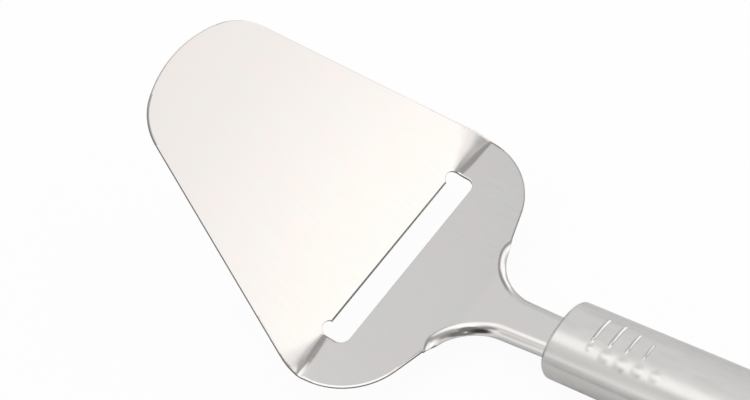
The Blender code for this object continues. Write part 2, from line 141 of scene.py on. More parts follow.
class BladeSizes(bpy.types.PropertyGroup):
    """Sizes of the pressed sheet, taken along the flat blank from the crease at the slot."""

    sheet: length("Sheet", 0.0008, "Thickness of the steel sheet")
    paddle_rise: angle("Paddle rise", 32.3, "How far the paddle bends up from the rear plate")
    neck_rise: angle("Neck rise", 12.3, "How far the rear plate bends up from the neck")
    paddle_length: length("Paddle length", 0.0784, "From the crease to the tip")
    tip_crown: length("Tip crown", 0.0070, "How far the tip's middle stands past its corners")
    tip_corner: length("Tip corner", 0.016, "Radius of the tip's corners")
    half_width: length("Half width", 0.0448, "Half the blade's width at the crease")
    side_angle: angle("Side angle", 18.2, "Lean of the paddle's sides")
    shoulder: length("Shoulder", 0.0212, "Radius of the shoulders")
    rear_angle: angle("Rear edge angle", 18.5, "Lean of the edges beside the neck")
    rear_apex: length("Rear edge apex", 0.0318, "Where the two rear edges would meet")
    crease_to_neck: length("Crease to neck bend", 0.0302, "From the crease to the neck's bend")
    neck_to_handle: length("Neck bend to handle", 0.0256, "From the neck's bend to the handle")
    crease: length("Crease", 0.0001, "Half the stretch that the bend takes along the lip")
    bend_before: length("Bend before", 0.0023, "Stretch of the outer bend on the rear plate")
    fan_apex: length("Fan apex", 0.0277, "Where the bend starts to open towards the sides")
    fan_left: share("Fan on the left", 0.22, "How fast the bend opens on the left")
    left_reach: length("Left reach", 0.0122, "Where the left bend opens twice as fast")
    fan_right: share("Fan on the right", 0.50, "How fast the bend opens on the right")
    right_reach: length("Right reach", 0.0160, "Where the right bend opens twice as fast")
    curl: length("Curl", 0.00040, "How far the bend's left end curls down")
    curl_reach: length("Curl reach", 0.0062, "How far in the curl starts")
    curl_breadth: length("Curl breadth", 0.0013, "Half the breadth of the curl")
    curl_behind: length("Curl behind crease", 0.0011, "Where the curl is deepest")
    droop: length("Droop", 0.0001, "How far the left shoulder's edge droops where it is sheared")
    neck_bend: length("Neck bend", 0.0030, "Half the stretch that the neck's bend takes")
    neck_half_width: length("Neck half width", 0.0065, "Half the neck's width at the handle")
    neck_taper: angle("Neck taper", 1.6, "How fast the neck widens towards the blade")
    neck_fillet: length("Neck fillet", 0.0137, "Radius of the corners beside the neck")
    neck_above_axis: length("Neck above axis", 0.0002, "Neck's top above the handle's axis")
    tang: length("Tang", 0.020, "What runs on inside the handle")
    slot_half_length: length("Slot half length", 0.0305, "Half the cutting slot's length")
    slot_behind: length("Slot behind crease", 0.0063, "Where the slot's rear side runs")
    slot_corner: length("Slot corner", 0.0028, "Radius of the slot's rear corners")
    lip: length("Lip", 0.00045, "Where the cutting lip runs past the crease")
    notch: length("Notch", 0.00225, "Radius of the relief notches")
    notch_behind: length("Notch behind crease", 0.00025, "Where the notches are centred")
    grind: length("Grind", 0.0006, "Width of the ground face along the lip")
    roll_at_start: length("Roll at start", 0.0036, "Radius of the rolled edge where it starts")
    roll_at_corner: length("Roll at corner", 0.0040, "Radius of the rolled edge at the corner")
    roll_at_handle: length("Roll at handle", 0.0047, "Radius of the rolled edge at the handle")
    roll_turn: angle("Roll turn", 56.0, "How steep the rolled edge gets")
    roll_lead: length("Roll lead", 0.0046, "Where the roll starts before the corner")
    roll_run_in: length("Roll run-in", 0.0048, "How long the roll takes to reach its full depth")
    right_corner: share("Right corner", 0.70, "Size of the right corner's roll beside the left one's")
    rim: length("Rim", 0.0006, "Breadth of the plain strip along the outline")
    flat_from: length("Flat from", 0.003, "Width from which a face is shaded flat")
    edge_round: length("Edge round", 0.0001, "Rounding of the sheared edges")


class HandleSizes(bpy.types.PropertyGroup):
    """Sizes of the oval tube, its ribs, its front disc and its rear cap."""

    half_width: length("Half width", 0.0114, "Half the oval's width")
    half_height: length("Half height", 0.00778, "Half the oval's height")
    fullness: FloatProperty(
        name="Fullness", description="Shape of the oval, where 2 is an ellipse", default=2.3,
        min=2.0, max=4.0,
    )
    wall: length("Wall", 0.0009, "Thickness of the tube")
    lip_round: length("Lip round", 0.0013, "Rounding of the tube's front edge")
    lip_reach: length("Lip reach", 0.0020, "How far the front edge turns in")
    first_rib: length("First rib", 0.0113, "From the front edge to the first rib")
    rib_pitch: length("Rib pitch", 0.00492, "From rib to rib")
    rib_half_breadth: length("Rib half breadth", 0.0006, "Half the first rib's breadth")
    gap: length("Gap", 0.0003, "Clearance between the pieces")
    neck_gap: length("Neck gap", 0.0001, "Clearance round the neck in the disc")
    disc: length("Disc", 0.0015, "Thickness of the front disc")
    cap: length("Cap", 0.0140, "How far the rear cap stands out")
    spigot: length("Spigot", 0.006, "How far the cap reaches into the tube")
    eye: length("Eye", 0.0035, "Radius of the hanging eye")
    eye_from_end: length("Eye from end", 0.0075, "From the cap's end to the eye's middle")


class Finishes(bpy.types.PropertyGroup):
    """Colours and roughness of the bare steel, and the colour of the floor. The ground and sheared
    edge colours are partly their own duller steel and partly painted shade for their dark
    reflections.
    """

    sheet: colour("Sheet", (0.60, 0.592, 0.580), "Bright rolled sheet")
    # Ground lip: partly duller ground steel, partly painted shade that darkens it where it would
    # reflect the white floor
    ground: colour("Ground", (0.42, 0.415, 0.41), "Freshly ground edge")
    # Sheared edge and its rounded rim: partly duller sheared steel, partly painted shade that draws
    # the dark line along the outline
    sheared: colour("Sheared", (0.22, 0.215, 0.21), "Sheared and tumbled edge")
    tube: colour("Tube", (0.605, 0.598, 0.586), "Satin tube")
    floor: colour("Floor", (0.90, 0.90, 0.90), "Pale studio floor")
    sheet_roughness: share("Sheet roughness", 0.14, "Roughness of the bright sheet")
    ground_roughness: share("Ground roughness", 0.34, "Roughness of the ground edge")
    tube_roughness: share("Tube roughness", 0.22, "Roughness of the satin tube")


def linked(name, data):
    """Put a mesh or a camera into the scene as an object."""
    made = bpy.data.objects.new(name, data)
    bpy.context.scene.collection.objects.link(made)
    return made


def new_piece(name, mesh, node):
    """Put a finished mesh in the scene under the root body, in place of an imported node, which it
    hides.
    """
    piece = linked(name, mesh)
    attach(piece, "root")
    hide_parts(node)
    return piece


def applied(name, mesh, *modifiers):
    """Run a mesh through modifiers, each a type and its settings, and keep what comes out."""
    carrier = linked(name, mesh)
    for kind, settings in modifiers:
        modifier = carrier.modifiers.new(kind.lower(), kind)
        for key, value in settings.items():
            setattr(modifier, key, value)
    graph = bpy.context.evaluated_depsgraph_get()
    made = bpy.data.meshes.new_from_object(carrier.evaluated_get(graph))
    made.name = name
    bpy.data.objects.remove(carrier)
    return made


def soften_edges(piece, width, limit=SHARP):
    """Round a piece's sharp edges a little and keep its flat faces flat."""
    bevel = piece.modifiers.new("edge_round", "BEVEL")
    bevel.width = width
    bevel.segments = 2
    bevel.use_clamp_overlap = False
    bevel.limit_method = "ANGLE"
    bevel.angle_limit = limit
    normals = piece.modifiers.new("flat_normals", "WEIGHTED_NORMAL")
    normals.mode = "FACE_AREA"
    normals.weight = 100
    normals.keep_sharp = True


def released(shape, mesh):
    """Write a bmesh into a mesh and free it."""
    shape.to_mesh(mesh)
    shape.free()
    return mesh


def turn_up(shape):
    """Make the faces of an open sheet agree and point upwards."""
    bmesh.ops.recalc_face_normals(shape, faces=shape.faces)
    if sum(face.normal.z for face in shape.faces) < 0.0:
        bmesh.ops.reverse_faces(shape, faces=shape.faces)


def verts_of(made):
    """The vertices among what an operation made."""
    return [item for item in made if isinstance(item, bmesh.types.BMVert)]


def walk_to(shape, vertex, place):
    """Extrude a straight edge from a vertex to a place on the blank."""
    moved = bmesh.ops.extrude_vert_indiv(shape, verts=[vertex])["verts"][0]
    moved.co = (place[0], place[1], 0.0)
    return moved


def swing(shape, vertex, centre, turn, steps):
    """Spin a vertex about a centre into an arc of edges."""
    pivot = (centre[0], centre[1], 0.0)
    spun = bmesh.ops.spin(
        shape, geom=[vertex], cent=pivot, axis=(0.0, 0.0, 1.0), angle=turn, steps=steps
    )
    return spun["geom_last"][0]


def unit(turn):
    """The direction on the blank at a turn from its X axis."""
    return Vector((math.cos(turn), math.sin(turn)))


def on_circle(centre, radius, turn):
    """A point on a circle of the blank."""
    return Vector(centre) + radius * unit(turn)


def rear_normal(sizes):
    """Outward normal of the edge beside the neck."""
    return Vector((math.sin(sizes.rear_angle), -math.cos(sizes.rear_angle)))


def meet(first_normal, first_offset, second_normal, second_offset):
    """Where two lines of the blank cross, each given by its normal and offset."""
    rows = Matrix((first_normal, second_normal))
    return rows.inverted() @ Vector((first_offset, second_offset))


def outline_tip(shape, sizes):
    """Draw the crowned tip and its corner, from the middle outwards."""
    lean_of_side = sizes.side_angle
    side_normal = unit(lean_of_side)
    corner_reach = (sizes.paddle_length - sizes.tip_crown) * math.tan(lean_of_side)
    corner_half_width = sizes.half_width - corner_reach
    crown = (corner_half_width ** 2 + sizes.tip_crown ** 2) / (2.0 * sizes.tip_crown)
    centre = Vector((0.0, sizes.paddle_length - crown))
    inner = crown - sizes.tip_corner
    offset = (Vector((sizes.half_width, 0.0)) - centre).dot(side_normal) - sizes.tip_corner
    lean = math.asin(offset / inner) - lean_of_side
    corner = centre + inner * Vector((math.sin(lean), math.cos(lean)))
    start = bmesh.ops.create_vert(shape, co=(0.0, sizes.paddle_length, 0.0))["vert"][0]
    end = swing(shape, start, centre, -lean, SHORT_ARC_STEPS)
    end = swing(shape, end, corner, -(math.pi / 2.0 - lean - lean_of_side), ARC_STEPS)
    return start, end


def outline_shoulder(shape, sizes, vertex):
    """Draw the straight side and the shoulder."""
    side_normal = unit(sizes.side_angle)
    rear = rear_normal(sizes)
    side_offset = side_normal.x * sizes.half_width - sizes.shoulder
    rear_offset = -rear.y * sizes.rear_apex - sizes.shoulder
    centre = meet(side_normal, side_offset, rear, rear_offset)
    vertex = walk_to(shape, vertex, on_circle(centre, sizes.shoulder, sizes.side_angle))
    turn = sizes.rear_angle - math.pi / 2.0 - sizes.side_angle
    return swing(shape, vertex, centre, turn, ARC_STEPS)


def outline_neck(shape, sizes, vertex):
    """Draw the rolled part of the edge, from the lead before the corner to the tang's end."""
    rear = rear_normal(sizes)
    neck_normal = Vector((math.cos(sizes.neck_taper), -math.sin(sizes.neck_taper)))
    mouth = Vector((sizes.neck_half_width, -sizes.crease_to_neck - sizes.neck_to_handle))
    rear_offset = -rear.y * sizes.rear_apex + sizes.neck_fillet
    neck_offset = neck_normal.dot(mouth) + sizes.neck_fillet
    centre = meet(rear, rear_offset, neck_normal, neck_offset)
    start = sizes.rear_angle + math.pi / 2.0
    corner = on_circle(centre, sizes.neck_fillet, start)
    edge = unit(sizes.rear_angle)
    first = len(shape.verts)
    for step in range(SHORT_ARC_STEPS + 1):
        left = sizes.roll_lead * (1.0 - step / SHORT_ARC_STEPS)
        vertex = walk_to(shape, vertex, corner + edge * left)
    turn = math.pi - sizes.neck_taper - start
    vertex = swing(shape, vertex, centre, turn, ARC_STEPS)
    corner_end = Vector(vertex.co.xy)
    for step in range(1, SHORT_ARC_STEPS + 1):
        vertex = walk_to(shape, vertex, corner_end.lerp(mouth, step / SHORT_ARC_STEPS))
    vertex = walk_to(shape, vertex, mouth - Vector((0.0, sizes.tang)))
    shape.verts.ensure_lookup_table()
    return vertex, shape.verts[first:]


def outline_slot(shape, sizes, vertex):
    """Draw half of the slot, from the middle of its rear side to the middle of the lip."""
    vertex = walk_to(shape, vertex, (0.0, -sizes.slot_behind))
    corner = Vector((sizes.slot_half_length, -sizes.slot_behind))
    corner_centre = corner + Vector((-sizes.slot_corner, sizes.slot_corner))
    start = on_circle(corner_centre, sizes.slot_corner, -math.pi / 2.0)
    vertex = walk_to(shape, vertex, start)
    vertex = swing(shape, vertex, corner_centre, math.pi / 2.0, SHORT_ARC_STEPS)
    notch_centre = Vector((sizes.slot_half_length - sizes.notch, -sizes.notch_behind))
    vertex = walk_to(shape, vertex, on_circle(notch_centre, sizes.notch, 0.0))
    lip_rise = (sizes.lip + sizes.notch_behind) / sizes.notch
    vertex = swing(shape, vertex, notch_centre, math.pi - math.asin(lip_rise), ARC_STEPS)
    return walk_to(shape, vertex, (0.0, sizes.lip))


def outward_normals(row):
    """Outward normals of the rolled edge, whose points run backwards on the right side."""
    normals = []
    for index in range(len(row)):
        before = row[max(index - 1, 0)].co
        after = row[min(index + 1, len(row) - 1)].co
        along = (after - before).normalized()
        normals.append(Vector((-along.y, along.x, 0.0)))
    return normals


def eased(low, high, value):
    """Rise smoothly from nothing at a low value to one at a high value."""
    part = min(max((value - low) / (high - low), 0.0), 1.0)
    return part * part * (3.0 - 2.0 * part)


def roll_sizes(row, sizes, corner):
    """Radius and turn of the roll at each point of the edge; a corner may be rolled less."""
    rolls = []
    run = 0.0
    half_corner = sizes.roll_lead + sizes.neck_fillet * HALF_CORNER
    whole_corner = sizes.roll_lead + sizes.neck_fillet * WHOLE_CORNER
    for index, vertex in enumerate(row):
        if index > 0:
            run += (vertex.co - row[index - 1].co).length
        opened = eased(0.0, half_corner, run)
        closed = eased(half_corner, whole_corner, run)
        radius = sizes.roll_at_start + (sizes.roll_at_corner - sizes.roll_at_start) * opened
        radius = corner * radius * (1.0 - closed) + sizes.roll_at_handle * closed
        begun = math.sin(math.pi / 2.0 * min(run / sizes.roll_run_in, 1.0))
        turn = sizes.roll_turn * (ROLL_BEGUN + (1.0 - ROLL_BEGUN) * begun)
        rolls.append((radius, turn))
    return rolls


def rolled(radius, turn):
    """How far a rolled strip reaches outwards and downwards from where the roll starts."""
    return radius * math.sin(turn), radius * (1.0 - math.cos(turn))


def following(row, extruded):
    """The extruded vertices in the order of the row that they came from."""
    new_row = verts_of(extruded)
    return [min(new_row, key=lambda other: (other.co - vertex.co).length) for vertex in row]


def roll_edge(shape, row, sizes, corner):
    """Draw the edge in by what the roll takes, then extrude the strip and roll it down."""
    normals = outward_normals(row)
    rolls = roll_sizes(row, sizes, corner)
    for vertex, normal, roll in zip(row, normals, rolls):
        vertex.co -= normal * rolled(*roll)[0]
    starts = [vertex.co.copy() for vertex in row]
    for step in range(1, ROLL_STEPS + 1):
        bars = [shape.edges.get((a, b)) for a, b in zip(row, row[1:])]
        made = bmesh.ops.extrude_edge_only(shape, edges=bars)["geom"]
        row = following(row, made)
        for vertex, start, normal, (radius, turn) in zip(row, starts, normals, rolls):
            outwards, downwards = rolled(radius, turn * step / ROLL_STEPS)
            vertex.co = start + normal * outwards - Vector((0.0, 0.0, downwards))


def cut_all(shape, axis, places, wanted):
    """Cut the wanted faces along the lines that are square to an axis at places on it."""
    normal = Vector((0.0, 0.0, 0.0))
    normal[axis] = 1.0
    for place in places:
        faces = [face for face in shape.faces if wanted(face)]
        bars = {bar for face in faces for bar in face.edges}
        verts = {vertex for face in faces for vertex in face.verts}
        geometry = faces + list(bars) + list(verts)
        bmesh.ops.bisect_plane(
            shape, geom=geometry, dist=MERGE, plane_co=place * normal, plane_no=normal
        )


def stations(low, high, step):
    """Evenly spaced places from low to high."""
    count = max(round((high - low) / step), 1)
    return [low + (high - low) * index / count for index in range(count + 1)]


def cut_bends(shape, rim, sizes):
    """Cut the blank finely where it bends, but leave the strip along its outline whole."""
    cut_all(shape, ACROSS, [sizes.fan_apex], lambda face: True)

    def beside_slot(face):
        return min(vertex.co.x for vertex in face.verts) > sizes.fan_apex - MERGE

    def inside_fan(face):
        middle = face.calc_center_median()
        return beside_slot(face) and face[rim] == 0 and FAN_LOW < middle.y < FAN_HIGH

    def at_neck(face):
        return face.calc_center_median().y < -NEAR_NECK * sizes.crease_to_neck

    along = stations(FAN_LOW, -FAN_LOW, FINE_CUT) + stations(-FAN_LOW, FAN_HIGH, MIDDLE_CUT)[1:]
    cut_all(shape, ALONG, along, beside_slot)
    curled = sizes.half_width - sizes.curl_reach
    across = stations(sizes.fan_apex, curled, COARSE_CUT)[1:]
    across += stations(curled, sizes.half_width, CURL_CUT)[1:]
    cut_all(shape, ACROSS, across, inside_fan)
    neck = -sizes.crease_to_neck
    bent = stations(neck - sizes.neck_bend, neck + sizes.neck_bend, NECK_CUT)
    cut_all(shape, ALONG, bent, at_neck)
    fan = [vertex for vertex in shape.verts if vertex.co.x > sizes.fan_apex - MERGE]
    bmesh.ops.remove_doubles(shape, verts=fan, dist=SLIVER)


def bend(point, crease, before, after, turn):
    """Bend what lies past a crease upwards, easing from before it to after it."""
    across, along, height = point
    past = along - crease
    if past <= -before:
        return Vector((across, along, height))
    if past >= after:
        reach = past * math.cos(turn) - height * math.sin(turn)
        rise = past * math.sin(turn) + height * math.cos(turn)
        return Vector((across, crease + reach, rise))
    lead = after - before
    if abs(lead) < MERGE:
        ease = (past + before) / (2.0 * before)
    else:
        ease = (math.sqrt(before ** 2 + lead * (before + past)) - before) / lead
    flat = -before * (1.0 - ease) ** 2
    raised = after * ease ** 2
    place = Vector((flat + raised * math.cos(turn), raised * math.sin(turn)))
    tangent = Vector((
        before * (1.0 - ease) + after * ease * math.cos(turn),
        after * ease * math.sin(turn),
    )).normalized()
    place += height * Vector((-tangent.y, tangent.x))
    return Vector((across, crease + place.x, place.y))


def end_curl(point, sizes):
    """How far the sheet's end curls down where its left side starts to bend."""
    past = -point[0] - sizes.half_width + sizes.curl_reach
    if past <= 0.0:
        return 0.0
    off = (point[1] + sizes.curl_behind) / sizes.curl_breadth
    return sizes.curl * (past / sizes.curl_reach) ** 2 * math.exp(-off * off)


def on_bent_sheet(point, sizes):
    """Place a point of the flat blank on the bent blade, in the frame of the model."""
    beside = max(abs(point[0]) - sizes.fan_apex, 0.0)
    before = sizes.crease + sizes.bend_before * (1.0 - math.exp(-beside / sizes.bend_before))
    opened = sizes.fan_right * (1.0 + (beside / sizes.right_reach) ** RIGHT_POWER)
    if point[0] < 0.0:
        opened = sizes.fan_left * (1.0 + (beside / sizes.left_reach) ** LEFT_POWER)
    after = sizes.crease + beside * opened
    placed = bend(point, 0.0, before, after, sizes.paddle_rise)
    placed.z -= end_curl(point, sizes)
    placed = bend(placed, -sizes.crease_to_neck, sizes.neck_bend, sizes.neck_bend, sizes.neck_rise)
    placed.y += FACE_Y + sizes.crease_to_neck + sizes.neck_to_handle
    placed.z += AXIS_Z + sizes.neck_above_axis
    return placed


def open_seam(shape, faces, sizes):
    """Take the plain strip away from the seam, which is not an edge of the sheet."""
    reach = sizes.rim + MERGE
    strips = [face for face in faces if max(vertex.co.x for vertex in face.verts) < reach]
    bmesh.ops.delete(shape, geom=strips, context="FACES")
    for vertex in shape.verts:
        if vertex.co.x < reach:
            vertex.co.x = 0.0


def half_blank(sizes, corner):
    """The blank's half to the right of its middle, rolled down beside the neck."""
    shape = bmesh.new()
    start, vertex = outline_tip(shape, sizes)
    vertex = outline_shoulder(shape, sizes, vertex)
    vertex, row = outline_neck(shape, sizes, vertex)
    tang_end = -sizes.crease_to_neck - sizes.neck_to_handle - sizes.tang
    vertex = walk_to(shape, vertex, (0.0, tang_end))
    vertex = outline_slot(shape, sizes, vertex)
    shape.edges.new((vertex, start))
    rim = shape.faces.layers.int.new("rim")
    blank = bmesh.ops.contextual_create(shape, geom=shape.edges[:])["faces"][0]
    roll_edge(shape, row, sizes, corner)
    inset = bmesh.ops.inset_region(
        shape, faces=[blank], thickness=sizes.rim, use_boundary=True, use_even_offset=True
    )
    for face in inset["faces"]:
        face[rim] = 1
    open_seam(shape, inset["faces"], sizes)
    cut_bends(shape, rim, sizes)
    return shape


def droop_shoulder(shape, sizes):
    """Let the shoulder's edge droop, from the bend's end to where the edge is rolled."""
    corner = Vector((sizes.slot_half_length, -sizes.slot_behind))
    for vertex in shape.verts:
        beside_slot = vertex.co.x > corner.x + sizes.rim or vertex.co.y < corner.y - sizes.rim
        if vertex.is_boundary and beside_slot:
            behind_bend = eased(0.0, sizes.curl_breadth, -vertex.co.y - sizes.bend_before)
            before_roll = eased(DROOP_STARTS, DROOP_WHOLE, vertex.co.x)
            vertex.co.z -= sizes.droop * behind_bend * before_roll


def join_halves(shape):
    """Close the seam between the blade's halves and dissolve it inside the outline."""
    bmesh.ops.remove_doubles(shape, verts=shape.verts, dist=MERGE)
    seam = []
    for bar in shape.edges:
        inside = not any(vertex.is_boundary for vertex in bar.verts)
        if inside and max(abs(vertex.co.x) for vertex in bar.verts) < MERGE:
            seam.append(bar)
    bmesh.ops.dissolve_edges(shape, edges=seam, use_verts=True)


def blade_surface(sizes):
    """The bent sheet's top surface, with the flat blank as its UV map."""
    mesh = bpy.data.meshes.new("blade_surface")
    left = half_blank(sizes, 1.0)
    droop_shoulder(left, sizes)
    bmesh.ops.scale(left, vec=(-1.0, 1.0, 1.0), verts=left.verts)
    released(left, mesh)
    shape = half_blank(sizes, sizes.right_corner)
    shape.from_mesh(mesh)
    join_halves(shape)
    flat = shape.loops.layers.uv.new("flat_blank")
    for face in shape.faces:
        for loop in face.loops:
            loop[flat].uv = loop.vert.co.xy
    for vertex in shape.verts:
        vertex.co = on_bent_sheet(vertex.co, sizes)
    turn_up(shape)
    return released(shape, mesh)


def grind_lip(mesh, sizes):
    """Chamfer the lip's top edge and give the ground face its own material, whose dark tint is partly
    painted shade.
    """
    shape = bmesh.new()
    shape.from_mesh(mesh)
    lip = on_bent_sheet((0.0, sizes.lip, 0.0), sizes)
    half_length = sizes.slot_half_length - sizes.notch
    on_lip = set()
    for vertex in shape.verts:
        level = Vector((0.0, vertex.co.y - lip.y, vertex.co.z - lip.z)).length < MERGE
        if level and abs(vertex.co.x) < half_length:
            on_lip.add(vertex)
    bars = [bar for bar in shape.edges if on_lip.issuperset(bar.verts)]
    bmesh.ops.bevel(
        shape, geom=bars, offset=sizes.grind, offset_type="OFFSET", segments=1, profile=0.5,
        affect="EDGES", material=GROUND_SHADE_SLOT,
    )
    bmesh.ops.remove_doubles(shape, verts=shape.verts, dist=MERGE)
    return released(shape, mesh)


def mark_sheared(mesh):
    """Mark the edges where the sheet's faces meet its sheared wall, for the edge round, whose faces
    take the dark sheared steel as a painted shade line.
    """
    shape = bmesh.new()
    shape.from_mesh(mesh)
    weight = shape.edges.layers.float.new("bevel_weight_edge")
    for bar in shape.edges:
        meeting = {face.material_index for face in bar.link_faces}
        bar[weight] = 1.0 if meeting == {SHEET_SLOT, SHEARED_SHADE_SLOT} else 0.0
    released(shape, mesh)


class SLICER_OT_blade(bpy.types.Operator):
    """Build the blade: paddle, slot with its ground lip, rear plate, rolled neck and tang"""

    bl_idname = "slicer.blade"
    bl_label = "Blade sheet"

    def execute(self, context):
        sizes = context.scene.slicer_blade
        finishes = context.scene.slicer_finishes
        wall = {"thickness": sizes.sheet, "offset": -1.0, "use_even_offset": True,
                "use_quality_normals": True, "material_offset_rim": SHEARED_SHADE_SLOT}
        surface = blade_surface(sizes)
        surface.materials.append(bright_steel(finishes))
        # Ground and sheared edges get steel darkened by painted shade
        surface.materials.append(ground_steel("ground_edge_shaded_steel", finishes.ground, finishes))
        surface.materials.append(ground_steel("sheared_edge_shaded_steel", finishes.sheared, finishes))
        mesh = grind_lip(applied("blade_sheet", surface, ("SOLIDIFY", wall)), sizes)
        mark_sheared(mesh)
        for face in mesh.polygons:
            face.use_smooth = face.area < sizes.flat_from ** 2
        piece = new_piece("blade_sheet", mesh, "blade_plate")
        soften_edges(piece, sizes.edge_round)
        # The rounded edges take the dark sheared steel, a painted shade line along the outline
        piece.modifiers["edge_round"].material = SHEARED_SHADE_SLOT
        piece.modifiers["edge_round"].limit_method = "WEIGHT"
        return {"FINISHED"}


def fuller(part, fullness):
    """Swell one coordinate of a unit circle towards the corners of its square."""
    return math.copysign(abs(part) ** (2.0 / fullness), part)


def oval_of(station, width, height):
    """Matrix of an oval round the handle's axis at a station along Y."""
    return Matrix.Translation((0.0, station, AXIS_Z)) @ Matrix.Diagonal((width, 1.0, height, 1.0))


def oval(sizes, station, inset):
    """Matrix of the handle's oval at a station along Y, taken in evenly."""
    return oval_of(station, sizes.half_width - inset, sizes.half_height - inset)


def first_oval(shape, place, fullness):
    """Start a loft with the handle's oval laid in XZ."""
    lay = Matrix.Rotation(math.pi / 2.0, 4, "X")
    verts = bmesh.ops.create_circle(shape, segments=OVAL_SIDES, radius=1.0, matrix=lay)["verts"]
    for vertex in verts:
        across = fuller(vertex.co.x, fullness)
        upward = fuller(vertex.co.z, fullness)
        vertex.co = place @ Vector((across, 0.0, upward))
    return shape.edges[:]


def loft(shape, bars, place, places):
    """Extrude a ring of edges through a row of places and return the last ring."""
    for following_place in places:
        made = bmesh.ops.extrude_edge_only(shape, edges=bars)["geom"]
        verts = verts_of(made)
        ends = set(verts)
        bars = [item for item in made if isinstance(item, bmesh.types.BMEdge)]
        bars = [bar for bar in bars if ends.issuperset(bar.verts)]
        move = following_place @ place.inverted()
        bmesh.ops.transform(shape, matrix=move, verts=verts)
        place = following_place
    return bars


def closed_mesh(shape, name):
    """Turn a closed bmesh into a smooth mesh whose faces point outwards."""
    bmesh.ops.recalc_face_normals(shape, faces=shape.faces)
    mesh = released(shape, bpy.data.meshes.new(name))
    mesh.shade_smooth()
    return mesh


# Each rib's height, share of the breadth, right and left end, then its dome's place, radius, height
RIBS = (
    (0.00038, 1.00, 0.0056, -0.0008, -0.0036, 0.0013, 0.00012),
    (0.00036, 1.00, 0.0056, -0.0002, -0.0041, 0.0022, 0.00014),
    (0.00032, 0.90, 0.0048, 0.0000, -0.0046, 0.0024, 0.00014),
    (0.00026, 0.65, 0.0038, 0.0002, -0.0043, 0.0022, 0.00013),
    (0.00000, 0.50, 0.0030, 0.0006, -0.0038, 0.0020, 0.00011),
)
DOME_BEHIND = 0.0004


def swelling(height, reach):
    """Height of a smooth swelling at a reach from its middle, where a reach of one is its foot."""
    return height * max(1.0 - reach * reach, 0.0) ** 2


def rib_relief(sizes, across, behind):
    """How far the pressed ribs lift the tube beside its middle and behind its front."""
    lift = 0.0
    for index, (height, narrowed, right, left, middle, radius, dome) in enumerate(RIBS):
        off = behind - sizes.first_rib - sizes.rib_pitch * index
        half_breadth = sizes.rib_half_breadth * narrowed
        past = max(across - right, left - across, 0.0)
        rib_reach = math.hypot(off / half_breadth, past / (2.0 * half_breadth))
        dome_reach = math.hypot(off - DOME_BEHIND, across - middle) / radius
        lift = max(lift, swelling(height, rib_reach), swelling(dome, dome_reach))
    return lift


def press_ribs(shape, sizes):
    """Lift the tube's outside where the ribs are pressed from within."""
    last = sizes.first_rib + sizes.rib_pitch * len(RIBS)
    for vertex in shape.verts:
        across = vertex.co.x / sizes.half_width
        upward = (vertex.co.z - AXIS_Z) / sizes.half_height
        behind = FACE_Y - vertex.co.y
        size = abs(across) ** sizes.fullness + abs(upward) ** sizes.fullness
        if upward <= 0.0 or size < OUTSIDE or not 0.0 < behind < last:
            continue
        steep = abs(across) ** (sizes.fullness - 1.0) / sizes.half_width
        level = upward ** (sizes.fullness - 1.0) / sizes.half_height
        outward = Vector((math.copysign(steep, across), 0.0, level)).normalized()
        vertex.co += outward * rib_relief(sizes, vertex.co.x, behind)


def tube_rings(sizes):
    """Rings of the tube's outside from its rear end to where the front edge rounds."""
    rings = [REAR_Y]
    front = FACE_Y - sizes.lip_round
    ribs_end = FACE_Y - sizes.first_rib - sizes.rib_pitch * len(RIBS)
    ribs_start = FACE_Y - sizes.first_rib + 2.0 * sizes.rib_half_breadth
    while rings[-1] < front - LEAST_RING:
        in_ribs = ribs_end < rings[-1] < ribs_start
        rings.append(min(rings[-1] + (RIB_RING if in_ribs else PLAIN_RING), front))
    return rings


class SLICER_OT_tube(bpy.types.Operator):
    """Build the handle tube with its rounded front edge and its pressed thumb ribs"""

    bl_idname = "slicer.tube"
    bl_label = "Handle tube"

    def execute(self, context):
        sizes = context.scene.slicer_handle
        finishes = context.scene.slicer_finishes
        places = [oval(sizes, station, 0.0) for station in tube_rings(sizes)]
        centre = FACE_Y - sizes.lip_round
        for step in range(1, SHORT_ARC_STEPS + 1):
            turn = math.pi / 2.0 * step / SHORT_ARC_STEPS
            inset = sizes.lip_round * (1.0 - math.cos(turn))
            places.append(oval(sizes, centre + sizes.lip_round * math.sin(turn), inset))
        behind = FACE_Y - sizes.wall
        inner = [(FACE_Y, sizes.lip_reach), (behind, sizes.lip_reach)]
        inner += [(behind - MERGE, sizes.wall), (REAR_Y, sizes.wall)]
        places += [oval(sizes, station, inset) for station, inset in inner]
        shape = bmesh.new()
        rear = first_oval(shape, places[0], sizes.fullness)
        last = loft(shape, rear, places[0], places[1:])
        bmesh.ops.bridge_loops(shape, edges=rear + last)
        press_ribs(shape, sizes)
        mesh = closed_mesh(shape, "handle_shell")
        mesh.materials.append(satin_steel(finishes, "satin_tube_steel"))
        piece = new_piece("handle_shell", mesh, "handle_tube")
        soften_edges(piece, TUBE_ROUND, TUBE_SHARP)
        return {"FINISHED"}


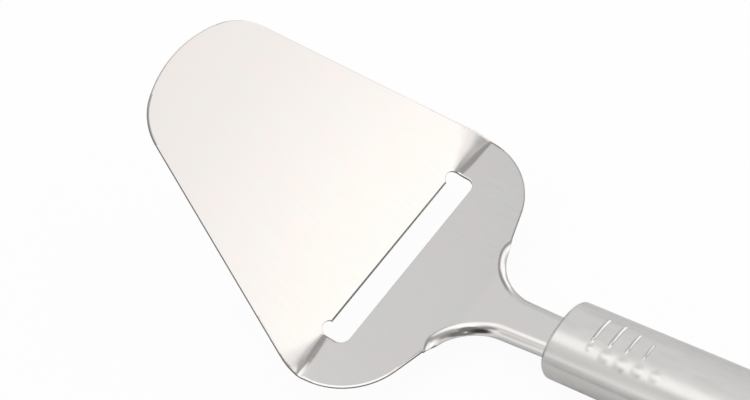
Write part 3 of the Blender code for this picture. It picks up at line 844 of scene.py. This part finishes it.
def neck_opening(blade, sizes, front):
    """The neck's rolled section run through the disc, a little larger all round."""
    web = blade.neck_half_width - rolled(blade.roll_at_handle, blade.roll_turn)[0]
    radius = blade.roll_at_handle + sizes.neck_gap
    turn = blade.roll_turn + sizes.neck_gap / radius
    right = []
    for step in range(ROLL_STEPS + 1):
        outwards, downwards = rolled(radius, turn * step / ROLL_STEPS)
        right.append((web + outwards, -downwards))
    left = [(-across, down) for across, down in reversed(right)]
    shape = bmesh.new()
    vertex = bmesh.ops.create_vert(shape, co=(*left[0], 0.0))["vert"][0]
    for place in left[1:] + right:
        vertex = walk_to(shape, vertex, place)
    made = bmesh.ops.extrude_edge_only(shape, edges=shape.edges[:])["geom"]
    bmesh.ops.translate(shape, vec=(0.0, 0.0, 4.0 * sizes.disc), verts=verts_of(made))
    top = Vector((0.0, front + sizes.disc, AXIS_Z + blade.neck_above_axis + sizes.neck_gap))
    stand = Matrix.Translation(top) @ Matrix.Rotation(math.pi / 2.0, 4, "X")
    bmesh.ops.transform(shape, matrix=stand, verts=shape.verts)
    turn_up(shape)
    mesh = released(shape, bpy.data.meshes.new("neck_opening"))
    wall = {"thickness": blade.sheet + 2.0 * sizes.neck_gap, "offset": -1.0}
    return applied("neck_opening", mesh, ("SOLIDIFY", wall))


def drilled(mesh, tool_mesh, material):
    """Cut one mesh with another and leave it a single material."""
    tool = linked("tool", tool_mesh)
    cutting = {"operation": "DIFFERENCE", "solver": "EXACT", "object": tool}
    made = applied(mesh.name, mesh, ("BOOLEAN", cutting))
    bpy.data.objects.remove(tool)
    made.materials.clear()
    made.materials.append(material)
    return made


def filled_loft(places, fullness, name):
    """A closed solid through ovals, with a face over each end."""
    shape = bmesh.new()
    first = first_oval(shape, places[0], fullness)
    last = loft(shape, first, places[0], places[1:])
    bmesh.ops.contextual_create(shape, geom=first)
    bmesh.ops.contextual_create(shape, geom=last)
    return closed_mesh(shape, name)


class SLICER_OT_disc(bpy.types.Operator):
    """Build the disc behind the tube's front edge, which the neck passes through"""

    bl_idname = "slicer.disc"
    bl_label = "Front disc"

    def execute(self, context):
        sizes = context.scene.slicer_handle
        blade = context.scene.slicer_blade
        finishes = context.scene.slicer_finishes
        front = FACE_Y - sizes.wall - sizes.gap
        inset = sizes.wall + sizes.gap
        places = [oval(sizes, front, inset), oval(sizes, front - sizes.disc, inset)]
        plate = filled_loft(places, sizes.fullness, "front_closure")
        steel = satin_steel(finishes, "disc_steel")
        mesh = drilled(plate, neck_opening(blade, sizes, front), steel)
        piece = new_piece("front_closure", mesh, "front_disc")
        soften_edges(piece, DISC_ROUND)
        return {"FINISHED"}


class SLICER_OT_cap(bpy.types.Operator):
    """Build the domed rear cap with its hanging eye"""

    bl_idname = "slicer.cap"
    bl_label = "Rear cap"

    def execute(self, context):
        sizes = context.scene.slicer_handle
        finishes = context.scene.slicer_finishes
        face = REAR_Y - sizes.gap
        inset = sizes.wall + sizes.gap
        places = [oval(sizes, face + sizes.spigot, inset), oval(sizes, face, inset)]
        places.append(oval(sizes, face - MERGE, 0.0))
        for step in range(1, DOME_RINGS + 1):
            turn = DOME_TURN * step / DOME_RINGS
            width = sizes.half_width * math.cos(turn)
            height = sizes.half_height * math.cos(turn)
            places.append(oval_of(face - sizes.cap * math.sin(turn), width, height))
        dome = filled_loft(places, sizes.fullness, "rear_cap")
        shape = bmesh.new()
        bmesh.ops.create_cone(
            shape, cap_ends=True, segments=EYE_SIDES, radius1=sizes.eye, radius2=sizes.eye,
            depth=4.0 * sizes.half_height,
        )
        middle = Vector((0.0, face - sizes.cap + sizes.eye_from_end, AXIS_Z))
        bmesh.ops.translate(shape, vec=middle, verts=shape.verts)
        drill = released(shape, bpy.data.meshes.new("drill"))
        mesh = drilled(dome, drill, satin_steel(finishes, "cap_steel"))
        mesh.shade_smooth()
        piece = new_piece("rear_cap", mesh, "end_cap")
        soften_edges(piece, CAP_ROUND)
        return {"FINISHED"}


# Noise in the steel's finish: how fine it is along each axis, how it is turned, and its detail
BRUSH = ((3600.0, 70.0, 1.0), math.radians(11.0), 3.0)
SHEET_CLOUD = ((150.0, 90.0, 1.0), math.radians(11.0), 3.0)
GRIND_MARKS = ((9000.0, 400.0, 400.0), 0.0, 2.0)
TUBE_GRAIN = ((1500.0, 500.0, 1500.0), 0.0, 4.0)
TUBE_CLOUD = ((420.0, 110.0, 420.0), 0.0, 3.0)

# The span of a noise that a pattern uses, and how far the roughness goes below and above its own
NOISE_SPAN = (0.3, 0.7)
SHEET_SPREAD = (-0.03, 0.05)
TUBE_SPREAD = (-0.03, 0.04)

# Strength and distance of the fine reliefs
SHEET_RELIEF = (0.04, 0.00002)
GRIND_RELIEF = (0.2, 0.00003)
TUBE_RELIEF = (0.06, 0.00005)

# Gains that the clouds vary a colour between
SHEET_PLAIN = (0.982, 1.0, 1.0)
SHEET_WARM = (1.018, 0.985, 0.996)
TUBE_DARK = (0.955, 0.955, 0.955)
TUBE_LIGHT = (1.04, 1.04, 1.04)


def fill(tree, target, source):
    """Give an input a value, or link another node's output to it."""
    if isinstance(source, bpy.types.NodeSocket):
        tree.links.new(source, target)
    else:
        target.default_value = source


def add_node(tree, kind, inputs=None, **settings):
    """Add a node, set what it is told and fill its inputs."""
    made = tree.nodes.new(kind)
    for key, value in settings.items():
        setattr(made, key, value)
    for key, value in (inputs or {}).items():
        fill(tree, made.inputs[key], value)
    return made


def stretched_noise(tree, source, scale, turn, detail):
    """Noise whose grain is stretched by a scale along each axis and turned."""
    laid = {"Vector": source, "Rotation": (0.0, 0.0, turn), "Scale": scale}
    mapping = add_node(tree, "ShaderNodeMapping", laid)
    grain = {"Vector": mapping.outputs["Vector"], "Scale": 1.0, "Detail": detail}
    return add_node(tree, "ShaderNodeTexNoise", grain).outputs["Fac"]


def ranged(tree, source, low, high):
    """Map the used span of a noise to a low and a high value."""
    span = {"Value": source, "From Min": NOISE_SPAN[0], "From Max": NOISE_SPAN[1]}
    span.update({"To Min": low, "To Max": high})
    return add_node(tree, "ShaderNodeMapRange", span).outputs["Result"]


def roughened(tree, shader, pattern, middle, spread):
    """Let a pattern vary a shader's roughness round its own."""
    rough = ranged(tree, pattern, middle + spread[0], middle + spread[1])
    fill(tree, shader.inputs["Roughness"], rough)


def bumped(tree, shader, pattern, relief):
    """Give a shader a fine relief."""
    raised = {"Height": pattern, "Strength": relief[0], "Distance": relief[1]}
    bump = add_node(tree, "ShaderNodeBump", raised)
    fill(tree, shader.inputs["Normal"], bump.outputs["Normal"])


def metal(name, tint):
    """A new metal material with its tree and shader."""
    material = bpy.data.materials.new(name)
    material.use_nodes = True
    shader = material.node_tree.nodes["Principled BSDF"]
    shader.inputs["Base Color"].default_value = (*tint, 1.0)
    shader.inputs["Metallic"].default_value = 1.0
    return material, material.node_tree, shader


def tinted(tree, shader, pattern, tint, low, high):
    """Let a cloudy pattern vary a shader's colour between two gains of a tint."""
    blend = {"Factor": ranged(tree, pattern, 0.0, 1.0)}
    for name, gains in (("A", low), ("B", high)):
        gained = [min(part * gain, 1.0) for part, gain in zip(tint, gains)]
        blend[name] = (*gained, 1.0)
    mix = add_node(tree, "ShaderNodeMix", blend, data_type="RGBA")
    fill(tree, shader.inputs["Base Color"], mix.outputs["Result"])


def bright_steel(finishes):
    """Bright rolled sheet, brushed faintly along the blade."""
    material, tree, shader = metal("bright_sheet_steel", finishes.sheet)
    flat = add_node(tree, "ShaderNodeUVMap", uv_map="flat_blank").outputs["UV"]
    brush = stretched_noise(tree, flat, *BRUSH)
    cloud = stretched_noise(tree, flat, *SHEET_CLOUD)
    roughened(tree, shader, brush, finishes.sheet_roughness, SHEET_SPREAD)
    tinted(tree, shader, cloud, finishes.sheet, SHEET_PLAIN, SHEET_WARM)
    bumped(tree, shader, brush, SHEET_RELIEF)
    return material


def ground_steel(name, tint, finishes):
    """Fresh grinding marks across a cut edge, in a tint darkened by painted shade."""
    material, tree, shader = metal(name, tint)
    place = add_node(tree, "ShaderNodeTexCoord").outputs["Object"]
    marks = stretched_noise(tree, place, *GRIND_MARKS)
    shader.inputs["Roughness"].default_value = finishes.ground_roughness
    bumped(tree, shader, marks, GRIND_RELIEF)
    return material


def satin_steel(finishes, name):
    """Satin steel, brushed round the handle and a little cloudy."""
    material, tree, shader = metal(name, finishes.tube)
    place = add_node(tree, "ShaderNodeTexCoord").outputs["Object"]
    grain = stretched_noise(tree, place, *TUBE_GRAIN)
    cloud = stretched_noise(tree, place, *TUBE_CLOUD)
    roughened(tree, shader, cloud, finishes.tube_roughness, TUBE_SPREAD)
    tinted(tree, shader, cloud, finishes.tube, TUBE_DARK, TUBE_LIGHT)
    bumped(tree, shader, grain, TUBE_RELIEF)
    return material


# What the steel sees round it: direction, half angles of full and no effect, colour
CARDS = (
    ((0.410, -0.805, 0.428), 16.0, 36.0, (1.45, 1.40, 1.38)),
    ((0.410, -0.805, 0.428), 7.0, 15.0, (1.80, 1.76, 1.69)),
    ((-0.55, 0.40, 0.73), 8.0, 22.0, (1.32, 1.30, 1.28)),
    ((0.10, 0.28, 0.955), 6.0, 14.0, (1.60, 1.59, 1.56)),
    ((0.05, 0.42, 0.91), 4.0, 13.0, (1.58, 1.57, 1.54)),
    ((0.15, 0.58, 0.80), 4.0, 9.0, (1.48, 1.46, 1.43)),
    ((0.28, -0.52, 0.81), 6.0, 13.0, (1.42, 1.40, 1.38)),
    ((0.04, -0.06, 1.00), 13.0, 19.0, (1.75, 1.74, 1.71)),
    ((0.95, -0.15, 0.20), 14.0, 26.0, (1.70, 1.69, 1.66)),
    ((0.74, -0.42, 0.52), 11.0, 18.0, (1.60, 1.59, 1.56)),
    ((1.00, -0.10, -0.07), 7.0, 12.0, (0.78, 0.78, 0.78)),
    ((0.90, 0.42, 0.10), 10.0, 24.0, (0.87, 0.87, 0.87)),
    ((-0.90, 0.42, -0.05), 10.0, 27.0, (0.52, 0.52, 0.52)),
    ((-0.42, 0.66, 0.62), 12.0, 17.0, (0.70, 0.70, 0.70)),
    ((-0.74, 0.62, 0.25), 10.0, 18.0, (0.74, 0.74, 0.74)),
    ((0.20, 0.93, 0.30), 20.0, 36.0, (0.76, 0.76, 0.76)),
    ((0.41, -0.150, 0.899), 11.2, 14.5, (0.48, 0.47, 0.46)),
    ((0.25, -0.50, 0.83), 9.0, 12.5, (0.62, 0.61, 0.60)),
    ((0.19, -0.12, 0.975), 6.0, 8.5, (1.70, 1.69, 1.66)),
    ((0.68, 0.08, 0.73), 9.0, 15.0, (0.42, 0.41, 0.40)),
    ((0.80, 0.12, 0.59), 6.0, 13.0, (0.50, 0.49, 0.48)),
    ((-0.06, -0.60, 0.80), 9.0, 15.0, (0.60, 0.59, 0.58)),
    ((-0.22, -0.76, 0.61), 10.0, 17.0, (0.45, 0.44, 0.43)),
    ((-0.50, -0.68, 0.53), 12.0, 20.0, (0.25, 0.24, 0.23)),
    ((-0.72, -0.48, 0.50), 12.0, 20.0, (0.30, 0.29, 0.28)),
    ((-0.50, -0.20, 0.84), 19.0, 24.5, (0.28, 0.27, 0.26)),
    ((-0.70, -0.04, 0.71), 9.0, 19.0, (0.05, 0.04, 0.04)),
    ((-0.36, 0.26, 0.895), 6.0, 10.0, (0.42, 0.41, 0.41)),
    ((-0.62, -0.45, 0.64), 1.5, 4.0, (1.80, 1.80, 1.80)),
)

# Strength of the surround, by which its colours are divided
SURROUND = 2.0

# The floor: half its width, how far it lies below the handle, how white the camera sees it
FLOOR_HALF_WIDTH = 3.0
FLOOR_DROP = 0.0001
FLOOR_WHITE = 0.95

# The camera: lens and sensor in millimetres, the nearest distance it sees, its place, and the
# directions to its right and behind it
LENS = 106.95
SENSOR = 36.0
NEAREST = 0.05
CAMERA_PLACE = (-0.23805, -0.26822, 0.45467)
CAMERA_RIGHT = (0.58500, -0.76803, -0.26058)
CAMERA_BACK = (-0.41100, -0.55772, 0.72113)


def held(tint):
    """A colour that the surround's strength brings to what the tint says."""
    return (*[part / SURROUND for part in tint], 1.0)


def studio_glow(tree, direction):
    """What the studio looks like in each direction: white, with bright cards and dark flags."""
    seen = held((1.0, 1.0, 1.0))
    for facing, full, none, tint in CARDS:
        towards = {0: direction, 1: Vector(facing).normalized()}
        dot = add_node(tree, "ShaderNodeVectorMath", towards, operation="DOT_PRODUCT")
        ends = {"Value": dot.outputs["Value"], "From Min": math.cos(math.radians(none))}
        ends["From Max"] = math.cos(math.radians(full))
        fade = add_node(tree, "ShaderNodeMapRange", ends, interpolation_type="SMOOTHSTEP")
        blend = {"Factor": fade.outputs["Result"], "A": seen, "B": held(tint)}
        seen = add_node(tree, "ShaderNodeMix", blend, data_type="RGBA").outputs["Result"]
    return seen


def show_camera(tree, output, plain, lit, amount):
    """Show the camera a plain shader by an amount, and everything else the lit one."""
    path = add_node(tree, "ShaderNodeLightPath").outputs["Is Camera Ray"]
    part = add_node(tree, "ShaderNodeMath", {0: path, 1: amount}, operation="MULTIPLY")
    both = {"Fac": part.outputs["Value"], 1: lit.outputs[0], 2: plain.outputs[0]}
    either = add_node(tree, "ShaderNodeMixShader", both)
    add_node(tree, output, {"Surface": either.outputs["Shader"]})


def light_studio(scene):
    """Light the steel from a white surround, which the camera sees as plain white."""
    world = bpy.data.worlds.new("studio")
    world.use_nodes = True
    scene.world = world
    tree = world.node_tree
    tree.nodes.clear()
    direction = add_node(tree, "ShaderNodeTexCoord").outputs["Generated"]
    shine = {"Color": studio_glow(tree, direction), "Strength": SURROUND}
    lit = add_node(tree, "ShaderNodeBackground", shine)
    plain = add_node(tree, "ShaderNodeBackground", {"Color": (1.0, 1.0, 1.0, 1.0)})
    show_camera(tree, "ShaderNodeOutputWorld", plain, lit, 1.0)


def pale_floor(finishes):
    """A pale matte floor that looks white and keeps a faint shadow."""
    material = bpy.data.materials.new("pale_floor")
    material.use_nodes = True
    tree = material.node_tree
    tree.nodes.clear()
    matte = add_node(tree, "ShaderNodeBsdfDiffuse", {"Color": (*finishes.floor, 1.0)})
    white = add_node(tree, "ShaderNodeEmission")
    show_camera(tree, "ShaderNodeOutputMaterial", white, matte, FLOOR_WHITE)
    return material


def lay_floor(finishes):
    """A wide floor under the slicer."""
    shape = bmesh.new()
    bmesh.ops.create_grid(shape, x_segments=1, y_segments=1, size=FLOOR_HALF_WIDTH)
    bmesh.ops.translate(shape, vec=(0.0, 0.0, -FLOOR_DROP), verts=shape.verts)
    mesh = released(shape, bpy.data.meshes.new("floor"))
    mesh.materials.append(pale_floor(finishes))
    floor = linked("floor", mesh)


def aim_camera(scene):
    """Put the camera where the photograph was taken from."""
    data = bpy.data.cameras.new("camera")
    data.sensor_width = SENSOR
    data.lens = LENS
    data.clip_start = NEAREST
    camera = linked("camera", data)
    right = Vector(CAMERA_RIGHT).normalized()
    back = Vector(CAMERA_BACK)
    back = (back - right * back.dot(right)).normalized()
    up = back.cross(right)
    turned = Matrix((right, up, back)).transposed().to_4x4()
    camera.matrix_world = Matrix.Translation(CAMERA_PLACE) @ turned
    scene.camera = camera


class SLICER_OT_studio(bpy.types.Operator):
    """Lay the floor, light the studio and aim the camera"""

    bl_idname = "slicer.studio"
    bl_label = "Studio"

    def execute(self, context):
        scene = context.scene
        scene.view_settings.view_transform = "Standard"
        light_studio(scene)
        lay_floor(scene.slicer_finishes)
        aim_camera(scene)
        return {"FINISHED"}


class SLICER_PT_panel(bpy.types.Panel):
    """Sizes and build buttons of the slicer"""

    bl_idname = "SLICER_PT_panel"
    bl_label = "Cheese slicer"
    bl_space_type = "VIEW_3D"
    bl_region_type = "UI"
    bl_category = "Slicer"

    def draw(self, context):
        layout = self.layout
        for group in (context.scene.slicer_blade, context.scene.slicer_handle):
            column = layout.column(align=True)
            for name in group.bl_rna.properties.keys():
                if name not in ("rna_type", "name"):
                    column.prop(group, name)
        for name in OPERATORS:
            layout.operator(name)


OPERATORS = ("slicer.studio", "slicer.blade", "slicer.tube", "slicer.disc", "slicer.cap")
CLASSES = (
    BladeSizes,
    HandleSizes,
    Finishes,
    SLICER_OT_blade,
    SLICER_OT_tube,
    SLICER_OT_disc,
    SLICER_OT_cap,
    SLICER_OT_studio,
    SLICER_PT_panel,
)


def register():
    for item in CLASSES:
        bpy.utils.register_class(item)
    bpy.types.Scene.slicer_blade = PointerProperty(type=BladeSizes)
    bpy.types.Scene.slicer_handle = PointerProperty(type=HandleSizes)
    bpy.types.Scene.slicer_finishes = PointerProperty(type=Finishes)


def unregister():
    del bpy.types.Scene.slicer_finishes
    del bpy.types.Scene.slicer_handle
    del bpy.types.Scene.slicer_blade
    for item in reversed(CLASSES):
        bpy.utils.unregister_class(item)


def main():
    register()
    bpy.ops.slicer.studio()
    bpy.ops.slicer.blade()
    bpy.ops.slicer.tube()
    bpy.ops.slicer.disc()
    bpy.ops.slicer.cap()


if __name__ == "__main__":
    main()
